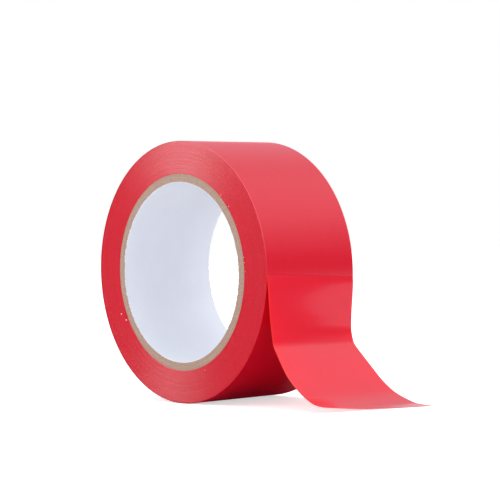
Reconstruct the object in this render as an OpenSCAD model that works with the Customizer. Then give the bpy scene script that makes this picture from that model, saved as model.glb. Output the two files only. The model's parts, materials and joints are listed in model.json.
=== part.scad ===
// Roll of PVC film tape on a pasteboard core, standing on its rim with a loose tail.
// Origin: centre of the core bore. +Y runs along the bore, +Z up, the tail hangs on the +X side.

/* [Tape] */
// Width of the tape
tape_w = 48; // [20:1:75]
// Thickness of the PVC film
film_t = 0.10; // [0.08:0.01:0.16]
// Thickness of the adhesive coat
adhesive_t = 0.03; // [0.02:0.01:0.05]
// Outer diameter of the full roll
roll_d = 111; // [100:1:140]
// Radial play between the wound tape and its last turn
turn_play = 0.05; // [0.04:0.01:0.10]
// Angle under the tail that the last turn leaves bare
turn_slit = 8; // [7:1:20]

/* [Core] */
// Bore of the core, a nominal 3 inches
core_bore_d = 76.2; // [76.2:0.1:77.5]
// Total wall of the core, liner included
core_wall = 3.5; // [2.5:0.1:5]
// Thickness of the white paper liner
liner_t = 0.3; // [0.2:0.05:0.4]
// Number of greyboard plies
ply_count = 5; // [3:1:7]

/* [Tail] */
// Outward turn of the stretch that hangs from the roll, in degrees
hang_turn = 1; // [0.5:0.5:4]
// Length of the knee, where the film bends outwards
knee_len = 8; // [6:0.5:12]
// Turn of the knee, in degrees
knee_turn = 27.5; // [15:0.5:32]
// Length of the long sweep down to the floor
sweep_len = 39.3; // [34:0.1:42]
// Turn of the long sweep, in degrees
sweep_turn = 44.5; // [35:0.5:50]
// Length of the toe, where the film bends onto the floor
toe_len = 4; // [3:0.5:6]
// Length that lies flat on the floor, at the far edge
flat_len = 8.7; // [5:0.1:15]
// Share of the sweep that lies before the tip's bend line
sweep_split = 0.4; // [0.3:0.05:0.6]
// Angle of the cut end, seen from above, in degrees
cut_angle = 19.2; // [0:0.1:25]
// Gap left in the film at each bend line
bend_gap = 0.3; // [0.25:0.05:0.4]

/* [Hidden] */

film_red = [0.82, 0.13, 0.19];
adhesive_red = [0.86, 0.36, 0.38];
board_brown = [0.66, 0.58, 0.50];
paper_white = [0.86, 0.87, 0.92];
round_fn = 180;

tape_t = film_t + adhesive_t;
roll_r = roll_d / 2;
bore_r = core_bore_d / 2;
liner_r = bore_r + liner_t;
core_r = bore_r + core_wall;
ply_t = (core_wall - liner_t) / ply_count;
turn_r = roll_r - tape_t;
pack_r = turn_r - turn_play;

// The tail's interface line, where film and adhesive meet, is four arcs run end to end and a
// straight end. A heading of -90 degrees points straight down, and 0 along the floor.
peel_heading = -90;
toe_turn = -peel_heading - hang_turn - knee_turn - sweep_turn;
turns = [hang_turn, knee_turn, sweep_turn, toe_turn, 0];
peel_point = [turn_r + adhesive_t, 0];
facet_len = 1;

// Point reached from p, at heading h, after an arc of this length and turn
function arc_end(p, h, length, turn) =
    let (r = length / (turn * PI / 180))
    turn == 0
        ? p + length * [cos(h), sin(h)]
        : p + r * [sin(h + turn) - sin(h), cos(h) - cos(h + turn)];

// Heading where arc i starts, and the height lost along it
function heading_before(i) = i == 0 ? peel_heading : heading_before(i - 1) + turns[i - 1];
function drop_along(i, length) = -arc_end([0, 0], heading_before(i), length, turns[i])[1];

// The hanging stretch has the length that brings the flat end's adhesive down to the floor
lower_drop = drop_along(1, knee_len) + drop_along(2, sweep_len) + drop_along(3, toe_len);
hang_drop = roll_r - adhesive_t - lower_drop;
hang_len = hang_drop * (hang_turn * PI / 180) / sin(hang_turn);
lengths = [hang_len, knee_len, sweep_len, toe_len, flat_len];

// Distance from the peel line to the start of arc i, and the point there
function before(i) = i == 0 ? 0 : before(i - 1) + lengths[i - 1];
function arc_start(i) =
    i == 0 ? peel_point : arc_end(arc_start(i - 1), heading_before(i - 1), lengths[i - 1], turns[i - 1]);
tail_len = before(len(lengths));
knee_at = hang_len + knee_len / 2;
tip_bend_at = before(2) + sweep_len * sweep_split;

// Which arc holds the distance s from the peel line
function arc_of(s, i = 0) = i == len(lengths) - 1 || s < before(i + 1) ? i : arc_of(s, i + 1);

// Point at distance s, moved by d towards the outer, film side
function tail_point(s, d) =
    let (i = arc_of(s), part = s - before(i), turn = turns[i] * part / lengths[i])
    let (h = heading_before(i) + turn)
    arc_end(arc_start(i), heading_before(i), part, turn) + d * [-sin(h), cos(h)];

// Hollow cylinder across the tape's width
module ring(inner_r, outer_r) {
    rotate([90, 0, 0])
        difference() {
            cylinder(h = tape_w, r = outer_r, center = true, $fn = round_fn);
            cylinder(h = tape_w + 2, r = inner_r, center = true, $fn = round_fn);
        }
}

// Ring that starts at the peel line, runs over the top and stops short of the line again
module open_ring(inner_r, outer_r) {
    rotate([90, 0, 0])
        translate([0, 0, -tape_w / 2])
            rotate_extrude(angle = 360 - turn_slit, $fn = round_fn)
                translate([inner_r, 0])
                    square([outer_r - inner_r, tape_w]);
}

// One layer of the tail from s0 to s1, between the offsets d0 and d1 from the interface line
module tail_layer(s0, s1, d0, d1) {
    count = ceil((s1 - s0) / facet_len);
    stations = [for (k = [0:count]) s0 + (s1 - s0) * k / count];
    outline = concat(
        [for (s = stations) tail_point(s, d1)],
        [for (k = [count:-1:0]) tail_point(stations[k], d0)]
    );
    rotate([90, 0, 0])
        linear_extrude(height = tape_w, center = true)
            polygon(outline);
}

// Everything on the roll's side of the slanting end cut
module cut_side() {
    reach = 2 * roll_d;
    far_tip = tail_point(tail_len, 0);
    translate([far_tip[0], tape_w / 2, 0])
        rotate([0, 0, -cut_angle])
            translate([-reach, -reach, -reach])
                cube([reach, 2 * reach, 2 * reach]);
}

module core_liner() {
    color(paper_white) ring(bore_r, liner_r);
}

// Ply number i, counted outwards from the liner
module core_ply(i) {
    color(board_brown) ring(liner_r + ply_t * (i - 1), liner_r + ply_t * i);
}

module wound_tape() {
    color(film_red) ring(core_r, pack_r);
}

module last_turn_adhesive() {
    color(adhesive_red) open_ring(turn_r, turn_r + adhesive_t);
}

module last_turn_film() {
    color(film_red) open_ring(turn_r + adhesive_t, roll_r);
}

module tail_hang_film() {
    color(film_red) tail_layer(bend_gap, knee_at - bend_gap / 2, 0, film_t);
}

module tail_hang_adhesive() {
    color(adhesive_red) tail_layer(bend_gap, knee_at - bend_gap / 2, -adhesive_t, 0);
}

module tail_sweep_film() {
    color(film_red) tail_layer(knee_at + bend_gap / 2, tip_bend_at - bend_gap / 2, 0, film_t);
}

module tail_sweep_adhesive() {
    color(adhesive_red) tail_layer(knee_at + bend_gap / 2, tip_bend_at - bend_gap / 2, -adhesive_t, 0);
}

module tail_tip_film() {
    color(film_red)
        intersection() {
            tail_layer(tip_bend_at + bend_gap / 2, tail_len, 0, film_t);
            cut_side();
        }
}

module tail_tip_adhesive() {
    color(adhesive_red)
        intersection() {
            tail_layer(tip_bend_at + bend_gap / 2, tail_len, -adhesive_t, 0);
            cut_side();
        }
}

core_liner();
for (i = [1:ply_count])
    core_ply(i);
wound_tape();
last_turn_adhesive();
last_turn_film();
tail_hang_film();
tail_hang_adhesive();
tail_sweep_film();
tail_sweep_adhesive();
tail_tip_film();
tail_tip_adhesive();
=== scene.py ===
"""Looks of the roll of film tape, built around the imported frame.

Its pieces are the paper liner, the greyboard plies, the wound tape, the last turn and the free tail.
"""

import json
import math

import bpy
import numpy as np
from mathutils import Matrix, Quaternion, Vector


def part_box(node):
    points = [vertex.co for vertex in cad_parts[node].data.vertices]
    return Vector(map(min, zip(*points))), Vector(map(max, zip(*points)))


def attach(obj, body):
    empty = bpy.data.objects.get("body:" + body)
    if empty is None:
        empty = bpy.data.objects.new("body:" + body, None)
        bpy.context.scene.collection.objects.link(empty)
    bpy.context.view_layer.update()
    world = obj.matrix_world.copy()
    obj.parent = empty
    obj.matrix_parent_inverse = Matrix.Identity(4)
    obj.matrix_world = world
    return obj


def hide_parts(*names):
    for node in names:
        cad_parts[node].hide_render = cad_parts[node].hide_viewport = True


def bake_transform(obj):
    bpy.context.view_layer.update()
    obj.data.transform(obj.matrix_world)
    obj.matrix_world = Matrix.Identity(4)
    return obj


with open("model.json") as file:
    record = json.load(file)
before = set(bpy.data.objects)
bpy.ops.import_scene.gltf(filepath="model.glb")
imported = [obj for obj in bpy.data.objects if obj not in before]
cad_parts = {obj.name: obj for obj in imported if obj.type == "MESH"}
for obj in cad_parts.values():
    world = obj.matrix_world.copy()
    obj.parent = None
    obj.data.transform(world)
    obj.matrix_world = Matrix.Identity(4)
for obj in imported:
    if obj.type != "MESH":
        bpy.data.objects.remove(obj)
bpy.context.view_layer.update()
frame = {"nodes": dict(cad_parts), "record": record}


MM = 0.001
rng = np.random.default_rng(7)

# ---------------------------------------------------------------- sizes, from the frame


def outer_radius(node):
    """Outer radius of a CAD node that is a ring about the Y axis."""
    return -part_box(node)[0].x


def bore_radius():
    """Radius of the bore, as the record's mount gives it."""
    bore = next(m for m in frame["record"]["mounts"] if m["name"] == "core_bore")
    return bore["dims"]["r_mm"] * MM


plies = sorted(n for n in frame["nodes"] if n.startswith("core_ply_"))
half_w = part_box("wound_tape")[1].y
bore_r = bore_radius()
core_r = outer_radius(plies[-1])
pack_r = outer_radius("wound_tape")
roll_r = outer_radius("last_turn_film")
floor_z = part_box("last_turn_film")[0].z
tail_end_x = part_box("tail_tip_film")[1].x

FILM_T = 0.10 * MM
ADHESIVE_T = 0.03 * MM
line_r = roll_r - FILM_T  # where film and adhesive meet on the roll

# ---------------------------------------------------------------- the tail's shape

# The tail's line is where film and adhesive meet. It starts at the CAD's peel line, straight down, and
# is a run of arcs: turns in degrees, lengths in metres. Distances along the tail are measured from there.
TAIL_TURNS = (1.0, 27.5, 44.5, 17.0, 0.0)
TAIL_LENGTHS = (22.97 * MM, 8.0 * MM, 39.3 * MM, 4.0 * MM, 8.7 * MM)
PEEL_HEADING = -90.0

# The cut end slants across the tape, and its near corner is rounded
CUT_SLOPE = math.tan(math.radians(19.2))
CORNER_ROUND = 3.0 * MM
CUT_HALVINGS = 40

# Between these distances the film stands a little off the floor before it lies down
LIFT = 0.6 * MM
LIFT_FROM, LIFT_TOP, LIFT_TO = 58 * MM, 70 * MM, 82 * MM

# The tail is twisted: its near edge stands outside its line and its far edge inside, most at TWIST_TOP
TWIST = 2.05 * MM
TWIST_TOP, TWIST_TO = 26 * MM, 47 * MM

# The film really leaves the roll a little below the CAD's peel line, along a slanted line
PEEL_MEAN = 2.55 * MM
PEEL_SLANT = 1.35 * MM

# There it kicks outwards. Further down it leans in and turns out at the knee, softest at its near edge.
KICK_OUT, KICK_RISE = 0.10 * MM, 3.5 * MM
LEAN_IN, LEAN_AT = 0.30 * MM, 20 * MM
KNEE_IN = 0.75 * MM
KNEE_SOFT, KNEE_SOFT_SLOPE = 0.40 * MM, 0.25 * MM
KNEE_FROM, KNEE_LINE, KNEE_TO = 23 * MM, 30.5 * MM, 42 * MM

# Where the tail's three pieces start and end, and the stretch about each of its joints that each piece
# takes in
TAIL_START, HANG_SEAM, SWEEP_SEAM = -9.0 * MM, 14.0 * MM, 38.5 * MM
PEEL_BEND = 0.0, 7 * MM
KNEE_BEND = 21 * MM, 33 * MM
TIP_BEND = 41 * MM, 53 * MM


def arc_end(point, heading, length, turn):
    """Point reached by an arc in the XZ plane. Heading and turn are in degrees."""
    h0, h1 = math.radians(heading), math.radians(heading + turn)
    if turn == 0:
        return point[0] + length * math.cos(h0), point[1] + length * math.sin(h0)
    r = length / math.radians(turn)
    return point[0] + r * (math.sin(h1) - math.sin(h0)), point[1] + r * (math.cos(h0) - math.cos(h1))


def tail_line(s):
    """Point (x, z) and outward normal of the tail's line at distance s.

    Where s is below 0, the line lies on the roll.
    """
    if s < 0:
        angle = -s / line_r
        normal = math.cos(angle), math.sin(angle)
        return (line_r * normal[0], line_r * normal[1]), normal
    point, heading, left = (line_r, 0.0), PEEL_HEADING, s
    for length, turn in zip(TAIL_LENGTHS, TAIL_TURNS):
        part = min(left, length)
        point = arc_end(point, heading, part, turn * part / length)
        heading += turn * part / length
        left -= part
        if left <= 0:
            break
    h = math.radians(heading)
    return point, (-math.sin(h), math.cos(h))


def smooth(t):
    """Smooth step from 0 at t = 0 to 1 at t = 1."""
    t = min(1.0, max(0.0, t))
    return t * t * (3 - 2 * t)


def peel_line(across):
    """Distance at which the film leaves the roll, a little earlier at its near edge."""
    return PEEL_MEAN + PEEL_SLANT * across


def twist(s, across):
    """How far the tail's two edges stand off its line at distance s."""
    if s < TWIST_TOP:
        start = peel_line(across)
        return TWIST * min(1.0, max(0.0, (s - start) / (TWIST_TOP - start)))
    return TWIST * (1 - smooth((s - TWIST_TOP) / (TWIST_TO - TWIST_TOP)))


def roll_beside(s):
    """Offset of the roll's surface from the tail's line, which leaves it straight down."""
    return line_r * (math.cos(max(s, 0.0) / line_r) - 1)


def kick(s, across):
    """How far the film stands outside the tail's line, from the peel line to the end of the knee."""
    start = peel_line(across)
    if s <= start:
        return roll_beside(s)
    top = start + KICK_RISE
    if s < top:
        low = roll_beside(start)
        t = (s - start) / KICK_RISE
        return low + (KICK_OUT - low) * t * (2 - t)
    if s < LEAN_AT:
        return KICK_OUT - (KICK_OUT + LEAN_IN) * smooth((s - top) / (LEAN_AT - top))
    above = -LEAN_IN - KNEE_IN * max(0.0, (s - KNEE_FROM) / (KNEE_LINE - KNEE_FROM)) ** 2
    below = -(LEAN_IN + KNEE_IN) * max(0.0, (KNEE_TO - s) / (KNEE_TO - KNEE_LINE)) ** 2
    soft = KNEE_SOFT - KNEE_SOFT_SLOPE * across
    return max(above, below) + max(0.0, soft - abs(above - below)) ** 2 / (4 * soft)


def tail_point(s, across, offset):
    """Point of the tail. across runs from -1, the near edge, to 1, and offset outwards from its line."""
    (x, z), (nx, nz) = tail_line(s)
    out = offset + kick(s, across) - across * twist(s, across)
    rise = smooth((s - LIFT_FROM) / (LIFT_TOP - LIFT_FROM))
    fall = smooth((LIFT_TO - s) / (LIFT_TO - LIFT_TOP))
    x, z = x + out * nx, z + out * nz + LIFT * rise * fall
    radius = math.hypot(x, z)
    least = line_r + offset
    if s < TWIST_TOP and radius < least:  # the roll is in the way
        x, z = x * least / radius, z * least / radius
    return x, across * half_w, z


def tail_end(across):
    """Distance at which the slanting cut, rounded at its near corner, ends the tail."""
    target = tail_end_x - (1 - across) * half_w * CUT_SLOPE
    into_corner = min(1.0, max(0.0, 1 - (1 + across) * half_w / CORNER_ROUND))
    target -= CORNER_ROUND * (1 - math.sqrt(1 - into_corner**2))
    low, high = SWEEP_SEAM, sum(TAIL_LENGTHS)
    for _ in range(CUT_HALVINGS):
        middle = (low + high) / 2
        if tail_line(middle)[0][0] < target:
            low = middle
        else:
            high = middle
    return (low + high) / 2


# ---------------------------------------------------------------- materials

# The sockets of a Mix node that mixes colours: its two inputs and its result
MIX_A, MIX_B, MIX_RESULT = 6, 7, 2


class Shader:
    """A node material that is built up one call at a time."""

    def __init__(self, name, **settings):
        self.material = bpy.data.materials.new(name)
        self.material.use_nodes = True
        self.nodes = self.material.node_tree.nodes
        self.links = self.material.node_tree.links
        self.surface = self.nodes["Principled BSDF"]
        self.output = self.nodes["Material Output"]
        for socket, value in settings.items():
            title = socket.replace("_", " ").title().replace("Ior", "IOR")
            self.surface.inputs[title].default_value = value
        self.position = self.add("ShaderNodeTexCoord").outputs["Object"]

    def add(self, kind, inputs=None, **properties):
        """A node with its properties set, and its inputs set or linked."""
        node = self.nodes.new(kind)
        for key, value in properties.items():
            setattr(node, key, value)
        for key, value in (inputs or {}).items():
            if isinstance(value, bpy.types.NodeSocket):
                self.links.new(value, node.inputs[key])
            else:
                node.inputs[key].default_value = value
        return node

    def maths(self, operation, a, b=0.0):
        return self.add("ShaderNodeMath", {0: a, 1: b}, operation=operation).outputs[0]

    def times(self, *values):
        """Product of two or more sockets or numbers, of which one is a socket."""
        product = values[0]
        for value in values[1:]:
            product = self.maths("MULTIPLY", product, value)
        return product

    def vector_maths(self, operation, a, b=(0, 0, 0), output=0):
        return self.add("ShaderNodeVectorMath", {0: a, 1: b}, operation=operation).outputs[output]

    def axes(self):
        """The X, Y and Z coordinates in metres, one socket each."""
        place = self.add("ShaderNodeSeparateXYZ", {0: self.position})
        return tuple(place.outputs[axis] for axis in "XYZ")

    def stretched(self, x, y, z):
        """The coordinates times these three factors, which are noise scales per metre."""
        return self.vector_maths("MULTIPLY", self.position, (x, y, z))

    def polar(self, around, outward, along):
        """Coordinates that run round the Y axis without a seam, outwards and along, at these scales."""
        flat = self.vector_maths("MULTIPLY", self.position, (1, 0, 1))
        radius = self.vector_maths("LENGTH", flat, output="Value")
        unit = self.vector_maths("NORMALIZE", flat)
        turned = self.vector_maths("MULTIPLY", unit, (around, 0, around))
        lift = self.maths("ADD", self.times(radius, outward), self.times(self.axes()[1], along))
        return self.vector_maths("ADD", turned, self.add("ShaderNodeCombineXYZ", {"Y": lift}).outputs[0])

    def noise(self, vector, detail=3.0, roughness=0.5):
        inputs = {"Vector": vector, "Scale": 1.0, "Detail": detail, "Roughness": roughness}
        return self.add("ShaderNodeTexNoise", inputs).outputs[0]

    def ranged(self, value, low, high, to_low=0.0, to_high=1.0):
        """value from the range low..high, brought to the range to_low..to_high."""
        inputs = {"Value": value, "From Min": low, "From Max": high, "To Min": to_low, "To Max": to_high}
        return self.add("ShaderNodeMapRange", inputs).outputs[0]

    def mixed(self, factor, a, b):
        """Colour between a and b."""
        node = self.add("ShaderNodeMix", {"Factor": factor}, data_type="RGBA")
        for socket, value in ((node.inputs[MIX_A], a), (node.inputs[MIX_B], b)):
            if isinstance(value, bpy.types.NodeSocket):
                self.links.new(value, socket)
            else:
                socket.default_value = (*value, 1)
        return node.outputs[MIX_RESULT]

    def colour(self, socket):
        self.links.new(socket, self.surface.inputs["Base Color"])

    def rough(self, socket):
        self.links.new(socket, self.surface.inputs["Roughness"])

    def bump(self, height, depth, strength, normal=None):
        """Bump of the given depth in metres; returns its normal, which another bump may take."""
        inputs = {"Height": height, "Distance": depth, "Strength": strength}
        if normal is not None:
            inputs["Normal"] = normal
        made = self.add("ShaderNodeBump", inputs).outputs[0]
        self.links.new(made, self.surface.inputs["Normal"])
        return made

    def lets_light_through(self, share, colour):
        """Mixes in light that comes through from behind."""
        through = self.add("ShaderNodeBsdfTranslucent", {"Color": (*colour, 1)}).outputs[0]
        self.mix_into_output(share, through)

    def mix_into_output(self, share, other):
        """Shows this share of another shader in place of the surface."""
        mix = self.add("ShaderNodeMixShader", {0: share, 1: self.surface.outputs[0], 2: other})
        self.links.new(mix.outputs[0], self.output.inputs["Surface"])


# Film on the roll, with a sheen over it, and free film, with light coming through it; the free film's red
# is painted brighter than the roll's, which is painted light
FILM_RED, FILM_RED_DEEP = (0.64, 0.002, 0.018), (0.61, 0.0015, 0.016)
FREE_RED_PAINTED_LIT, FREE_RED_DEEP_PAINTED_LIT = (0.98, 0.004, 0.034), (0.95, 0.0035, 0.031)
SHEEN_RED = (1.0, 0.04, 0.10)
THROUGH_RED = (0.98, 0.04, 0.03)
FILM_THROUGH, ADHESIVE_THROUGH = 0.38, 0.40

# Slit edges: a painted highlight on the roll, and a painted glow on the free film where light comes
# through it
PAINTED_HIGHLIGHT_RED, PAINTED_HIGHLIGHT_WIDTH, PAINTED_HIGHLIGHT_SHARE = (0.95, 0.22, 0.27), 0.45 * MM, 0.3
PAINTED_HIGHLIGHT_FROM, PAINTED_HIGHLIGHT_TO = -8 * MM, 20 * MM  # the painted highlight on the roll's edge grows between these heights
GLOWING_EDGE, GLOWING_WIDTH, GLOWING_SHARE = (1.0, 0.045, 0.018), 1.2 * MM, 0.5
EDGE_LINE = 0.05 * MM

ADHESIVE_RED, ADHESIVE_PALE = (0.78, 0.012, 0.030), (0.83, 0.022, 0.042)
SIDE_RED, SIDE_RED_LIGHT = (0.60, 0.002, 0.015), (0.64, 0.003, 0.018)
RING_RED, DUST_RED = (0.54, 0.002, 0.014), (0.86, 0.07, 0.10)
BOARD_BROWN, BOARD_PALE = (0.32, 0.207, 0.150), (0.505, 0.351, 0.264)
FLECK_PALE, FLECK_DARK = (0.68, 0.58, 0.49), (0.20, 0.15, 0.10)
PAPER_SHADE, PAPER_WHITE, PAPER_FIBRE = (0.78, 0.795, 0.84), (0.81, 0.825, 0.865), (0.75, 0.77, 0.82)
CRUMB_CREAM, CRUMB_WHITE = (0.86, 0.80, 0.74), (0.92, 0.90, 0.87)

PVC_IOR, ADHESIVE_IOR = 1.53, 1.48
TONE_LOW, TONE_SPREAD, TONE_STEP = 0.94, 0.12, 0.618  # tones of the plies

# Noise runs from 0 to 1 but lies mostly between 0.3 and 0.7, so most ranges below end near there


def film_finish(shader, red, deep_red, painted_edge_red, edge_width, painted_edge_share):
    """Calendered film: faint streaks along it, faint bands across it and slit edges of another red, which
    paints light on them.
    """
    streaks = shader.noise(shader.stretched(40, 500, 40), detail=2)
    bands = shader.noise(shader.stretched(170, 8, 170), detail=2)
    streaked = shader.mixed(shader.ranged(streaks, 0.2, 0.8), deep_red, red)
    from_middle = shader.maths("ABSOLUTE", shader.axes()[1])
    slit = shader.ranged(from_middle, half_w - edge_width, half_w - EDGE_LINE)
    # Painted light on the slit edges: a highlight on the roll's film, a glow on the free film
    shader.colour(shader.mixed(shader.times(slit, painted_edge_share), streaked, painted_edge_red))
    shader.rough(shader.ranged(bands, 0.2, 0.8, 0.21, 0.24))
    shader.bump(bands, 0.05 * MM, 0.6)


def film_on_roll():
    shader = Shader(
        "Film on the roll", ior=PVC_IOR, specular_ior_level=0.5, sheen_weight=0.6, sheen_roughness=0.3
    )
    shader.surface.inputs["Sheen Tint"].default_value = (*SHEEN_RED, 1)
    # Painted highlight on the slit edges of the roll's film, stronger higher up
    share = shader.ranged(shader.axes()[2], PAINTED_HIGHLIGHT_FROM, PAINTED_HIGHLIGHT_TO, 0.0, PAINTED_HIGHLIGHT_SHARE)
    film_finish(shader, FILM_RED, FILM_RED_DEEP, PAINTED_HIGHLIGHT_RED, PAINTED_HIGHLIGHT_WIDTH, share)
    return shader.material


def free_film():
    shader = Shader(
        "Free film", ior=PVC_IOR, specular_ior_level=0.65, sheen_weight=0.5, sheen_roughness=0.35,
        coat_weight=0.4, coat_roughness=0.1,
    )
    # Its brighter red and glowing edges are painted light, standing in for light coming through the film
    film_finish(shader, FREE_RED_PAINTED_LIT, FREE_RED_DEEP_PAINTED_LIT, GLOWING_EDGE, GLOWING_WIDTH, GLOWING_SHARE)
    shader.lets_light_through(FILM_THROUGH, THROUGH_RED)
    return shader.material


def adhesive():
    """Adhesive side: paler than the film side, with the marks left by unwinding."""
    shader = Shader("Adhesive", ior=ADHESIVE_IOR, specular_ior_level=0.5)
    marks = shader.noise(shader.stretched(900, 160, 900), detail=5)
    shader.colour(shader.mixed(shader.ranged(marks, 0.3, 0.7), ADHESIVE_RED, ADHESIVE_PALE))
    shader.rough(shader.ranged(marks, 0.3, 0.7, 0.18, 0.34))
    shader.bump(marks, 0.02 * MM, 0.5)
    shader.lets_light_through(ADHESIVE_THROUGH, THROUGH_RED)
    return shader.material


def wound_sides():
    """Slit edges of the film: hundreds of fine rings, with dust and tiny steps between them."""
    shader = Shader(
        "Wound film", ior=PVC_IOR, specular_ior_level=0.4, anisotropic=0.9, anisotropic_rotation=0.25
    )
    rings = shader.noise(shader.polar(2.5, 2600, 0), detail=5, roughness=0.65)
    bands = shader.noise(shader.polar(1.2, 420, 0), detail=2)
    specks = shader.noise(shader.polar(70, 1300, 0), detail=3, roughness=0.65)
    body = shader.mixed(shader.ranged(bands, 0.3, 0.7), SIDE_RED, SIDE_RED_LIGHT)
    ringed = shader.mixed(shader.ranged(rings, 0.35, 0.65, 0.0, 0.3), body, RING_RED)
    shader.colour(shader.mixed(shader.ranged(specks, 0.50, 0.68, 0.0, 0.25), ringed, DUST_RED))
    shader.rough(shader.ranged(specks, 0.38, 0.62, 0.30, 0.50))
    tangent = shader.add("ShaderNodeTangent", direction_type="RADIAL", axis="Y").outputs[0]
    shader.links.new(tangent, shader.surface.inputs["Tangent"])
    normal = shader.bump(rings, 0.012 * MM, 0.6)
    shader.bump(specks, 0.13 * MM, 0.8, normal)
    return shader.material


def greyboard(number):
    """Cut edge of one ply of greyboard. Each ply has its own tone."""
    shader = Shader(f"Greyboard {number}", specular_ior_level=0.2)
    tone = TONE_LOW + TONE_SPREAD * ((number * TONE_STEP) % 1)
    brown, pale = (tuple(tone * c for c in colour) for colour in (BOARD_BROWN, BOARD_PALE))
    fibres = shader.noise(shader.polar(60, 1500, 700), detail=6, roughness=0.7)
    flecks = shader.noise(shader.polar(160, 2600, 1900), detail=3, roughness=0.6)
    base = shader.mixed(shader.ranged(fibres, 0.32, 0.68), brown, pale)
    lit = shader.mixed(shader.ranged(flecks, 0.62, 0.75, 0.0, 0.6), base, FLECK_PALE)
    shader.colour(shader.mixed(shader.ranged(flecks, 0.24, 0.36, 0.6, 0.0), lit, FLECK_DARK))
    shader.rough(shader.ranged(fibres, 0.3, 0.7, 0.80, 0.95))
    normal = shader.bump(fibres, 0.12 * MM, 0.7)
    shader.bump(flecks, 0.08 * MM, 0.5, normal)
    return shader.material


def liner_paper():
    """Smooth white paper, a little blue, with faint mottling and fibres."""
    shader = Shader("Liner paper", specular_ior_level=0.35)
    mottle = shader.noise(shader.stretched(90, 90, 90), detail=4)
    fibres = shader.noise(shader.stretched(1400, 900, 1400), detail=4, roughness=0.6)
    base = shader.mixed(shader.ranged(mottle, 0.3, 0.7), PAPER_SHADE, PAPER_WHITE)
    shader.colour(shader.mixed(shader.ranged(fibres, 0.35, 0.65, 0.0, 0.25), base, PAPER_FIBRE))
    shader.rough(shader.ranged(mottle, 0.3, 0.7, 0.45, 0.60))
    shader.bump(fibres, 0.015 * MM, 0.5)
    return shader.material


def paper_crumb():
    """Torn white paper fibres."""
    shader = Shader("Paper crumb", specular_ior_level=0.2)
    fibres = shader.noise(shader.stretched(3000, 3000, 3000), detail=4)
    shader.colour(shader.mixed(shader.ranged(fibres, 0.3, 0.7), CRUMB_CREAM, CRUMB_WHITE))
    shader.rough(shader.ranged(fibres, 0.3, 0.7, 0.8, 0.95))
    shader.bump(fibres, 0.05 * MM, 0.6)
    return shader.material


# ---------------------------------------------------------------- meshes

RING_SEGMENTS = 384
RING_ANGLES = 2 * math.pi * np.arange(RING_SEGMENTS) / RING_SEGMENTS


def mesh_object(name, points, faces, materials, face_materials=None, sharp=35):
    """A smooth-shaded mesh object with edges sharper than the given angle kept sharp."""
    mesh = bpy.data.meshes.new(name)
    mesh.from_pydata([tuple(p) for p in points], [], faces)
    for material in materials:
        mesh.materials.append(material)
    if face_materials is not None:
        mesh.polygons.foreach_set("material_index", face_materials)
    mesh.shade_smooth()
    mesh.set_sharp_from_angle(angle=math.radians(sharp))
    made = bpy.data.objects.new(name, mesh)
    bpy.context.scene.collection.objects.link(made)
    return made


def lathe(name, profile, shift, material):
    """A closed ring about the Y axis.

    profile is a loop of (radius, y), anticlockwise as seen with radius to the right and y up. shift is
    added to it, and is an array of (ring segments, points of the profile, 2).
    """
    section = np.array(profile, float) + shift
    count = len(profile)
    x = section[:, :, 0] * np.cos(RING_ANGLES)[:, None]
    z = section[:, :, 0] * np.sin(RING_ANGLES)[:, None]
    points = np.stack([x, section[:, :, 1], z], -1).reshape(-1, 3)
    faces = []
    for i in range(RING_SEGMENTS):
        here, there = i * count, (i + 1) % RING_SEGMENTS * count
        for j in range(count):
            k = (j + 1) % count
            faces.append((here + j, here + k, there + k, there + j))
    return mesh_object(name, points, faces, [material])


def strip(name, outer, inner, materials):
    """A closed thin solid between two grids of points (stations, across).

    Its inner face takes the second material.
    """
    stations, across = outer.shape[:2]
    points = np.concatenate([outer.reshape(-1, 3), inner.reshape(-1, 3)])
    under = stations * across
    faces, kinds = [], []
    for i in range(stations - 1):
        for j in range(across - 1):
            a = i * across + j
            b, c, d = a + 1, a + across + 1, a + across
            faces += [(a, b, c, d), (a + under, d + under, c + under, b + under)]
            kinds += [0, 1]
    rim = list(range(across))
    rim += [i * across + across - 1 for i in range(1, stations)]
    rim += [(stations - 1) * across + j for j in range(across - 2, -1, -1)]
    rim += [i * across for i in range(stations - 2, 0, -1)]
    for here, there in zip(rim, rim[1:] + rim[:1]):
        faces.append((there, here, here + under, there + under))
        kinds.append(0)
    return mesh_object(name, points, faces, materials, kinds)


# ---------------------------------------------------------------- liner and core

PAPER_T = 0.12 * MM  # the paper; the rest of the liner's CAD node is its backing and shows as greyboard
LINER_STEPS = 24
LINER_RAGGED = -0.22, 0.20  # in millimetres
LINER_CURL = -0.10, 0.02  # in millimetres
OVERLAP_PITCH, OVERLAP_STEP = 62 * MM, 0.03 * MM
OVERLAP_FADE = 0.9  # in radians


def add_liner(paper):
    """Paper liner of the bore, with ragged, slightly curled edges and a faint overlap along a helix."""
    ys = np.linspace(-half_w, half_w, LINER_STEPS + 1)
    profile = [(bore_r + PAPER_T, y) for y in ys] + [(bore_r, y) for y in ys[::-1]]
    shift = np.zeros((RING_SEGMENTS, len(profile), 2))
    near_edge, far_edge = (0, len(profile) - 1), (LINER_STEPS, LINER_STEPS + 1)
    ragged = rng.uniform(*LINER_RAGGED, (2, RING_SEGMENTS)) * MM
    curl = rng.uniform(*LINER_CURL, (2, RING_SEGMENTS)) * MM
    for side, y_sign, (outside, inside) in ((0, -1, near_edge), (1, 1, far_edge)):
        shift[:, outside, 1] = shift[:, inside, 1] = y_sign * ragged[side]
        shift[:, inside, 0] = curl[side]
    for j in range(LINER_STEPS + 1, len(profile)):
        turn = (RING_ANGLES - 2 * math.pi * profile[j][1] / OVERLAP_PITCH) % (2 * math.pi)
        shift[:, j, 0] -= OVERLAP_STEP * np.exp(-turn / OVERLAP_FADE)
    liner = lathe("paper_liner", profile, shift, paper)
    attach(liner, "roll")
    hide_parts("core_liner")


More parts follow.
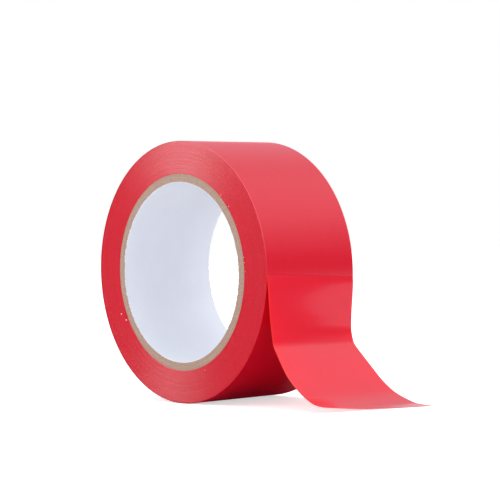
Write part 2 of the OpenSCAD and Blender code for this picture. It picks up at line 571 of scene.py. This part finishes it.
PLY_RINGS = 5
PLY_SET_BACK = 0.05  # in millimetres
PLY_ROUGHNESS = 0.02  # in millimetres
PLY_GROOVE = 0.05 * MM


def add_plies():
    """The greyboard plies of the core.

    Their cut edges are rough and set back by different amounts, with a groove between one and the next.
    """
    inner = bore_r + PAPER_T
    for number, node in enumerate(plies, 1):
        outer = outer_radius(node)
        radii = np.linspace(inner, outer, PLY_RINGS)
        height = half_w - rng.uniform(0.0, PLY_SET_BACK) * MM
        near = [(r, -height) for r in radii]
        near[0], near[-1] = (radii[0], PLY_GROOVE - height), (radii[-1], PLY_GROOVE - height)
        profile = near + [(r, -y) for r, y in near[::-1]]
        shift = np.zeros((RING_SEGMENTS, len(profile), 2))
        shift[:, :, 1] = rng.normal(0, PLY_ROUGHNESS, shift.shape[:2]) * MM
        if number == 1:  # its corner beside the liner stays straight
            shift[:, (0, -1), 1] = 0
        ply = lathe(node.replace("core", "board"), profile, shift, greyboard(number))
        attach(ply, "roll")
        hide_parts(node)
        inner = outer


# ---------------------------------------------------------------- wound tape and last turn

SIDE_RINGS = 56
OUTSIDE_STEPS = 12
RING_STEP = 0.006  # in millimetres, the spread of the rings' heights
RING_WAVE = 0.006  # in millimetres, the spread of each harmonic round a ring
WAVE_HARMONICS = (1, 2, 3, 5)
FIRST_SET_BACK, LAST_SET_BACK = 0.05 * MM, 0.06 * MM


def add_wound_tape(side_material, film_material):
    """The wound turns as one ring, whose two sides carry the fine steps between groups of turns."""
    radii = np.linspace(core_r, pack_r, SIDE_RINGS)
    step = rng.normal(0, RING_STEP, (2, SIDE_RINGS)) * MM
    step[:, 0], step[:, -1] = FIRST_SET_BACK, LAST_SET_BACK
    near = [(r, -half_w + s) for r, s in zip(radii, step[0])]
    far = [(r, half_w - s) for r, s in zip(radii[::-1], step[1])]
    outside = [(pack_r, y) for y in np.linspace(-half_w, half_w, OUTSIDE_STEPS + 1)[1:-1]]
    profile = near + outside + far
    first_far = len(near + outside)
    wave = np.zeros((RING_SEGMENTS, len(profile), 2))
    for j in (*range(SIDE_RINGS), *range(first_far, len(profile))):
        for harmonic in WAVE_HARMONICS:
            size = rng.normal(0, RING_WAVE) * MM
            wave[:, j, 1] += size * np.cos(harmonic * RING_ANGLES + rng.uniform(0, 2 * math.pi))
    tape = lathe("wound_turns", profile, wave, side_material)
    tape.data.materials.append(film_material)
    kinds = np.zeros(len(tape.data.polygons), np.int32)
    for j in range(SIDE_RINGS - 1, first_far):
        kinds[j::len(profile)] = 1
    tape.data.polygons.foreach_set("material_index", kinds)
    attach(tape, "roll")
    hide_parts("wound_tape")


# The last turn and the tail stand a little proud of the wound turns, and their edges are rounded
EDGE_LIP = 0.12 * MM
EDGE_ROUND = 0.30 * MM
EDGE_THIN = 0.085 * MM
EDGE_STEPS = (0.35, 0.6, 0.8, 0.92, 1.0)
WIDTH_STEPS = 32


def width_line():
    """Steps across the last turn and the tail, where -1 and 1 are the edges of the wound turns."""
    flat = half_w + EDGE_LIP - EDGE_ROUND
    middle = [flat / half_w * math.sin(math.pi / 2 * t) for t in np.linspace(-1, 1, WIDTH_STEPS + 1)]
    edge = [(flat + EDGE_ROUND * t) / half_w for t in EDGE_STEPS]
    return [-across for across in edge[::-1]] + middle + edge


WIDTH_LINE = width_line()


def edge_thinning(across):
    """How much thinner the film is at this place of its rounded edge."""
    t = (abs(across) * half_w - half_w - EDGE_LIP) / EDGE_ROUND + 1
    return EDGE_THIN * (1 - math.sqrt(1 - min(1.0, max(0.0, t)) ** 2))


TURN_STEPS = 340
TURN_END = math.radians(352)
THIN_FROM = math.radians(300)
THIN_BY = 0.11 * MM


def add_last_turn(materials):
    """The last turn, from just above the peel line over the top to where it dives under the tail.

    It gets thinner towards that end.
    """
    start = -TAIL_START / line_r
    inner_r = line_r - ADHESIVE_T
    outer, inner = [], []
    for k in range(TURN_STEPS + 1):
        angle = start + (TURN_END - start) * k / TURN_STEPS
        outer_r = roll_r - THIN_BY * smooth((angle - THIN_FROM) / (TURN_END - THIN_FROM))
        c, s = math.cos(angle), math.sin(angle)
        radii = [(across, outer_r - edge_thinning(across)) for across in WIDTH_LINE]
        outer.append([(r * c, across * half_w, r * s) for across, r in radii])
        inner.append([(inner_r * c, across * half_w, inner_r * s) for across in WIDTH_LINE])
    turn = strip("last_turn", np.array(outer), np.array(inner), materials)
    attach(turn, "last_turn")
    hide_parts("last_turn_film", "last_turn_adhesive")


# ---------------------------------------------------------------- tail

ROW_STEP = 0.6 * MM


def rows_between(start, stop):
    """Distances of a stretch's rows at each step across. start and stop are functions of across."""
    starts = [start(across) for across in WIDTH_LINE]
    stops = [stop(across) for across in WIDTH_LINE]
    count = math.ceil((max(stops) - min(starts)) / ROW_STEP)
    return [[a + (b - a) * k / count for a, b in zip(starts, stops)] for k in range(count + 1)]


def tail_strip(name, rows, materials, rows_on_roll):
    """One piece of the tail. The first rows may lie on the roll, and take the third material."""
    outer = [
        [tail_point(s, across, FILM_T - edge_thinning(across)) for s, across in zip(row, WIDTH_LINE)]
        for row in rows
    ]
    inner = [[tail_point(s, across, -ADHESIVE_T) for s, across in zip(row, WIDTH_LINE)] for row in rows]
    piece = strip(name, np.array(outer), np.array(inner), materials)
    on_roll = 2 * rows_on_roll * (len(WIDTH_LINE) - 1)
    for face in piece.data.polygons[:on_roll]:
        if face.material_index == 0:
            face.material_index = 2
    return piece


def on_line(s):
    (x, z), _ = tail_line(s)
    return x, 0.0, z


def add_tail(materials):
    """The free tail in three pieces, each of which takes in one of its bend lines."""
    on_roll = rows_between(lambda across: TAIL_START, peel_line)
    leaving = rows_between(peel_line, lambda across: HANG_SEAM)
    peel = on_roll + leaving[1:]
    knee = rows_between(lambda across: HANG_SEAM, lambda across: SWEEP_SEAM)
    tip = rows_between(lambda across: SWEEP_SEAM, tail_end)
    pieces = (
        ("tail_peel", peel, len(on_roll) - 1, "last_turn", "tail_hang", PEEL_BEND, "hang"),
        ("tail_knee", knee, 0, "tail_hang", "tail_sweep", KNEE_BEND, "sweep"),
        ("tail_tip", tip, 0, "tail_sweep", "tail_tip", TIP_BEND, "tip"),
    )
    for name, rows, rows_on_roll, body, next_body, (bend_from, bend_to), stretch in pieces:
        piece = tail_strip(name, rows, materials, rows_on_roll)
        on_line(bend_from)
        on_line(bend_to)
        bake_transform(piece)
        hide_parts(f"tail_{stretch}_film", f"tail_{stretch}_adhesive")


# ---------------------------------------------------------------- crumbs

# Angle in degrees from +X, distance outside the core and size in millimetres
CRUMBS = (
    (203.5, 3.6, 0.56),
    (208.5, 1.7, 0.52),
    (290, 1.8, 0.26),
    (48, 0.9, 0.20),
    (39, 1.0, 0.24),
    (27, 0.6, 0.20),
    (8, 0.5, 0.22),
    (5, 0.6, 0.24),
    (0, 0.7, 0.20),
)
CRUMB_CORNERS = 7
CRUMB_REACH = 0.55, 1.1
CRUMB_FLATTEN, CRUMB_LEAN = 0.7, 0.1  # shares of its reach and of its size
CRUMB_PROUD, CRUMB_FOOT, CRUMB_TOP, CRUMB_BOTTOM = 0.05 * MM, 0.06 * MM, 0.16 * MM, 0.1 * MM


def add_crumbs(material):
    """A few crumbs of liner paper caught on the near side face, next to the core."""
    points, faces = [], []
    for degrees, gap, size in CRUMBS:
        angle = math.radians(degrees)
        radius = core_r + gap * MM
        centre = Vector((radius * math.cos(angle), -half_w - CRUMB_PROUD, radius * math.sin(angle)))
        base = len(points)
        for k in range(CRUMB_CORNERS):
            turn = 2 * math.pi * k / CRUMB_CORNERS
            reach = size * MM * rng.uniform(*CRUMB_REACH)
            corner = reach * math.cos(turn), CRUMB_FOOT, CRUMB_FLATTEN * reach * math.sin(turn)
            points.append(centre + Vector(corner))
        lean = CRUMB_LEAN * size * MM
        points.append(centre + Vector((lean, -CRUMB_TOP, lean)))
        points.append(centre + Vector((0, CRUMB_BOTTOM, 0)))
        top, bottom = base + CRUMB_CORNERS, base + CRUMB_CORNERS + 1
        for k in range(CRUMB_CORNERS):
            after = base + (k + 1) % CRUMB_CORNERS
            faces += [(base + k, after, top), (after, base + k, bottom)]
    crumbs = mesh_object("paper_crumbs", points, faces, [material], sharp=20)
    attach(crumbs, "roll")


# ---------------------------------------------------------------- camera

# Fitted to the photograph: places in metres, the roll in degrees, lens and sensor in millimetres
CAMERA_AT = Vector((0.60247, -0.51100, 0.01266))
CAMERA_AIM = Vector((0.00785, 0.00904, 0.00848))
CAMERA_ROLL = -1.67
LENS, SENSOR = 131.93, 36
CLIP_START, CLIP_END = 0.01, 50


def add_camera():
    """The photograph's camera, turned about its viewing line by CAMERA_ROLL degrees."""
    camera = bpy.data.objects.new("camera", bpy.data.cameras.new("camera"))
    camera.data.lens = LENS
    camera.data.sensor_width = SENSOR
    camera.data.clip_start, camera.data.clip_end = CLIP_START, CLIP_END
    camera.location = CAMERA_AT
    camera.rotation_mode = "QUATERNION"
    level = (CAMERA_AIM - CAMERA_AT).to_track_quat("-Z", "Y")
    camera.rotation_quaternion = level @ Quaternion((0, 0, 1), math.radians(CAMERA_ROLL))
    bpy.context.scene.collection.objects.link(camera)
    bpy.context.scene.camera = camera


# ---------------------------------------------------------------- light and surroundings

WORLD_LIGHT = (0.89, 0.91, 0.98)


def seen_directly(nodes, links):
    """1 for rays that show the background itself: camera, glossy and transmission rays."""
    path = nodes.new("ShaderNodeLightPath")
    total = path.outputs["Is Camera Ray"]
    for name in ("Is Glossy Ray", "Is Transmission Ray"):
        larger = nodes.new("ShaderNodeMath")
        larger.operation = "MAXIMUM"
        links.new(total, larger.inputs[0])
        links.new(path.outputs[name], larger.inputs[1])
        total = larger.outputs[0]
    return total


def add_world():
    """Even white surroundings, slightly cool as a light."""
    world = bpy.data.worlds.new("studio")
    bpy.context.scene.world = world
    world.use_nodes = True
    nodes, links = world.node_tree.nodes, world.node_tree.links
    mix = nodes.new("ShaderNodeMix")
    mix.data_type = "RGBA"
    links.new(seen_directly(nodes, links), mix.inputs["Factor"])
    mix.inputs[MIX_A].default_value = (*WORLD_LIGHT, 1)
    mix.inputs[MIX_B].default_value = (1, 1, 1, 1)
    links.new(mix.outputs[MIX_RESULT], nodes["Background"].inputs["Color"])


FLOOR_HALF = 6.0
FLOOR_GREY = 0.84
FLOOR_GLOW = 0.60

# How brightly the gloss shows the table top, the floor close by and the painted pool of light in the gap
# between roll and tail
TOP_SHINE, NEAR_SHINE, GAP_PAINTED_LIGHT = 1.05, 0.06, 0.7
SHINE_COLOUR = (0.92, 0.95, 1.1)


def floor_shine(shader):
    """Brightness of the floor as the gloss shows it: a white table top in a dim room.

    Close to the object it is dark, which is painted shade, and it is dark far from it too; it is brighter
    behind the object than in front, and holds a painted pool of light between the roll and the tail.
    """
    distance = shader.vector_maths("LENGTH", shader.position, output="Value")
    x, y, _ = shader.axes()
    behind = shader.ranged(shader.maths("ADD", x, y), -0.2, 0.2)
    # Painted shade: as the gloss shows it, the floor is dark close to the object
    near = shader.ranged(distance, 0.09, 0.28)
    top = shader.times(near, shader.ranged(distance, 0.9, 0.55), behind)
    level = shader.maths("ADD", shader.times(top, TOP_SHINE), shader.times(near, NEAR_SHINE))
    # A painted pool of light on the floor, as the gloss shows it, between the far edges of the roll and
    # the tail
    across = shader.times(shader.ranged(x, 12 * MM, 32 * MM), shader.ranged(x, 60 * MM, 42 * MM))
    gap = shader.times(across, shader.ranged(y, 16 * MM, 44 * MM))
    return shader.maths("ADD", level, shader.times(gap, GAP_PAINTED_LIGHT))


def add_floor():
    """A pale floor that keeps the object's shadow."""
    signs = ((-1, -1), (1, -1), (1, 1), (-1, 1))
    corners = [(x * FLOOR_HALF, y * FLOOR_HALF, floor_z) for x, y in signs]
    grey = (FLOOR_GREY, FLOOR_GREY, FLOOR_GREY, 1)
    shader = Shader("Floor", base_color=grey, roughness=0.9, specular_ior_level=0.0)
    path = shader.add("ShaderNodeLightPath").outputs
    shader.surface.inputs["Emission Color"].default_value = (1, 1, 1, 1)
    glow = shader.times(path["Is Camera Ray"], FLOOR_GLOW)
    shader.links.new(glow, shader.surface.inputs["Emission Strength"])
    shine = {"Color": (*SHINE_COLOUR, 1), "Strength": floor_shine(shader)}
    shader.mix_into_output(path["Is Glossy Ray"], shader.add("ShaderNodeEmission", shine).outputs[0])
    floor = mesh_object("floor", corners, [(0, 1, 2, 3)], [shader.material])


SCREEN_RADIUS, SCREEN_TOP, SCREEN_STEPS = 2.0, 3.2, 72
SCREEN_LIGHT = (0.98, 0.99, 1.08)


def screen_light(shader):
    """Brightness of the screen: dark at its foot and on the near side, and brightest at the right."""
    x, y, z = shader.axes()
    left = shader.ranged(z, 0.0, 2.2, 0.38, 0.85)
    right = shader.ranged(z, 0.2, 1.3, 0.12, 1.25)
    rightness = shader.ranged(x, -0.4, 0.6)
    behind = shader.maths("ADD", left, shader.times(shader.maths("SUBTRACT", right, left), rightness))
    above = shader.times(behind, shader.ranged(y, -0.5, 0.5, 0.3, 1.0))
    # A low bright patch stands straight behind the object, as the camera sees it
    corner = shader.times(shader.ranged(x, -0.5, -1.2), shader.ranged(y, 0.3, 1.2))
    return shader.maths("ADD", above, shader.times(corner, shader.ranged(z, 0.6, 0.15, 0.0, 1.0)))


def add_screen():
    """A round screen about the table, which only the gloss shows."""
    points, faces = [], []
    for k in range(SCREEN_STEPS + 1):
        angle = 2 * math.pi * k / SCREEN_STEPS - math.pi
        x, y = SCREEN_RADIUS * math.cos(angle), SCREEN_RADIUS * math.sin(angle)
        points += [(x, y, floor_z), (x, y, SCREEN_TOP)]
        if k:
            faces.append((2 * k - 2, 2 * k, 2 * k + 1, 2 * k - 1))
    shader = Shader("Screen", roughness=1.0, specular_ior_level=0.0)
    light = {"Color": (*SCREEN_LIGHT, 1), "Strength": screen_light(shader)}
    emission = shader.add("ShaderNodeEmission", light).outputs[0]
    shader.links.new(emission, shader.output.inputs["Surface"])
    screen = mesh_object("screen", points, faces, [shader.material])
    screen.visible_camera = False
    screen.visible_diffuse = False
    screen.visible_transmission = False
    screen.visible_shadow = False


def add_softbox(name, direction, distance, size, power, gloss_only=False, colour=(1, 1, 1)):
    """A square soft light that faces the object. direction points from the object to it.

    It lights the object and stays out of its gloss, or the other way round.
    """
    data = bpy.data.lights.new(name, "AREA")
    data.shape = "SQUARE"
    data.size = size
    data.energy = power
    data.color = colour
    lamp = bpy.data.objects.new(name, data)
    towards = Vector(direction).normalized()
    lamp.location = towards * distance
    lamp.rotation_mode = "QUATERNION"
    lamp.rotation_quaternion = (-towards).to_track_quat("-Z", "Y")
    lamp.visible_camera = False
    lamp.visible_diffuse = not gloss_only
    lamp.visible_glossy = gloss_only
    bpy.context.scene.collection.objects.link(lamp)


def add_lights():
    """Distances and sizes are in metres, powers in watts."""
    add_softbox("key", (-0.60, -0.72, 0.35), distance=1.0, size=0.7, power=3.4)
    add_softbox("fill", (0.94, 0.03, 0.30), distance=1.0, size=0.45, power=1.8)
    add_softbox("overhead", (0.1, 0.2, 1.0), distance=1.2, size=1.0, power=3.8)
    # Its highlight lies across the top and bottom of the near side face, and pales the red there
    add_softbox(
        "sheen", (-0.686, -0.473, 0.553), distance=1.0, size=0.6, power=13.0, gloss_only=True,
        colour=(0.6, 1.0, 1.0),
    )


# ---------------------------------------------------------------- the scene

add_camera()

roll_film, tail_film, sticky = film_on_roll(), free_film(), adhesive()
add_liner(liner_paper())
add_plies()
add_wound_tape(wound_sides(), roll_film)
add_last_turn([roll_film, sticky])
add_tail([tail_film, sticky, roll_film])
add_crumbs(paper_crumb())

add_world()
add_floor()
add_screen()
add_lights()
bpy.context.scene.view_settings.view_transform = "Standard"
